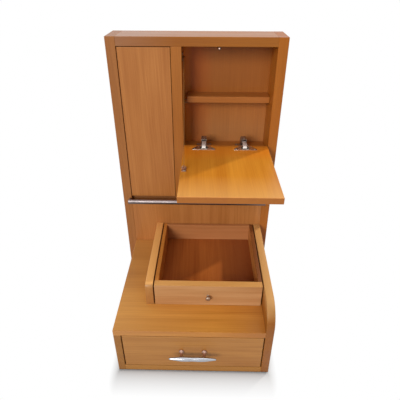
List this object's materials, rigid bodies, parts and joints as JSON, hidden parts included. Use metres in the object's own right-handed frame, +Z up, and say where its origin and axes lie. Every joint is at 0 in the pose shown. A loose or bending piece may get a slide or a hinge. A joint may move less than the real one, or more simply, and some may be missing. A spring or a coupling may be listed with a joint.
{
  "type": "stepped cabinet with door, drop flap, tray and drawer",
  "caption": "Tall shallow wooden cabinet with a side-hung door and a chained drop flap, standing on a stepped base with an open tray drawer and a closed drawer.",
  "frame": {"origin": "middle of the whole object's footprint, on the floor, with the door shut, the flap down and both drawers in", "axes": "+X to the right seen from the front, +Y to the back, +Z up"},
  "size_m": [0.45, 0.4936, 0.7805],
  "materials": {
    "cabinet_wood": "satin lacquer",
    "inner_wood": "thin lacquer",
    "panel_wood": "satin lacquer",
    "rail_steel": "brushed",
    "pull_chrome": "polished",
    "chain_nickel": "nickel plated",
    "hinge_nickel": "nickel plated",
    "fastener_steel": "zinc plated",
    "catch_metal": "satin",
    "glide_plastic": "moulded"
  },
  "bodies": {
    "carcass": {"side_panel_left": "cabinet_wood", "side_panel_right": "cabinet_wood", "top_board": "cabinet_wood", "back_panel": "panel_wood", "divider": "cabinet_wood", "flap_bay_floor": "cabinet_wood", "flap_bay_shelf": "cabinet_wood", "shelf_pins": "fastener_steel", "blind_panel": "cabinet_wood", "door_bay_floor": "cabinet_wood", "lower_panel": "cabinet_wood", "base_side_left": "cabinet_wood", "base_side_right": "cabinet_wood", "base_bottom": "cabinet_wood", "step_board": "cabinet_wood", "tray_cheek": "cabinet_wood", "tray_guide": "inner_wood", "slide_channels": "fastener_steel", "front_rail": "rail_steel", "rail_posts": "rail_steel", "rail_bolts": "fastener_steel", "flap_hinge_arms": "hinge_nickel", "flap_hinge_plates": "hinge_nickel", "door_hinge_arms": "hinge_nickel", "door_hinge_plates": "hinge_nickel", "hinge_plate_screws": "fastener_steel", "chain_anchor": "chain_nickel", "flap_chain": "chain_nickel", "flap_catch": "catch_metal", "door_catch": "catch_metal", "fitting_screws": "fastener_steel", "glides": "glide_plastic", "back_screws": "fastener_steel"},
    "flap": {"flap_panel": "cabinet_wood", "flap_hinge_cups": "hinge_nickel", "flap_screws": "fastener_steel", "chain_eye": "chain_nickel", "flap_strike": "fastener_steel"},
    "flap_links": {"flap_hinge_links": "hinge_nickel"},
    "door": {"door_panel": "cabinet_wood", "door_hinge_cups": "hinge_nickel", "door_screws": "fastener_steel", "door_strike": "fastener_steel"},
    "door_links": {"door_hinge_links": "hinge_nickel"},
    "tray": {"tray_front": "cabinet_wood", "tray_side_left": "cabinet_wood", "tray_side_right": "cabinet_wood", "tray_back": "cabinet_wood", "tray_bottom": "panel_wood", "tray_runners": "inner_wood", "tray_knob": "pull_chrome", "tray_knob_screw": "fastener_steel"},
    "drawer": {"drawer_front": "cabinet_wood", "drawer_side_left": "inner_wood", "drawer_side_right": "inner_wood", "drawer_back": "inner_wood", "drawer_bottom": "panel_wood", "slide_members": "fastener_steel", "cleat_handle": "pull_chrome", "cleat_screws": "fastener_steel"}
  },
  "joints": [
    {"name": "flap_hinge", "type": "hinge", "parent": "carcass", "child": "flap", "pos_m": [0, 0.14245, 0.4784], "axis": [-1, 0, 0], "range_deg": [0, 90], "deforming": ["flap_chain"]},
    {"name": "flap_link_turn", "type": "hinge", "parent": "flap", "child": "flap_links", "pos_m": [0, 0.13285, 0.4928], "axis": [-1, 0, 0], "range_deg": [-90, 0]},
    {"name": "door_hinge", "type": "hinge", "parent": "carcass", "child": "door", "pos_m": [-0.1936, 0.14245, 0], "axis": [0, 0, -1], "range_deg": [0, 90]},
    {"name": "door_link_turn", "type": "hinge", "parent": "door", "child": "door_links", "pos_m": [-0.184, 0.15685, 0], "axis": [0, 0, -1], "range_deg": [-90, 0]},
    {"name": "tray_slide", "type": "slide", "parent": "carcass", "child": "tray", "axis": [0, -1, 0], "range_m": [0, 0.2]},
    {"name": "drawer_slide", "type": "slide", "parent": "carcass", "child": "drawer", "axis": [0, -1, 0], "range_m": [0, 0.26]}
  ],
  "couplings": [
    {"joint": "flap_link_turn", "follows": "flap_hinge", "ratio": -1},
    {"joint": "door_link_turn", "follows": "door_hinge", "ratio": -1}
  ]
}
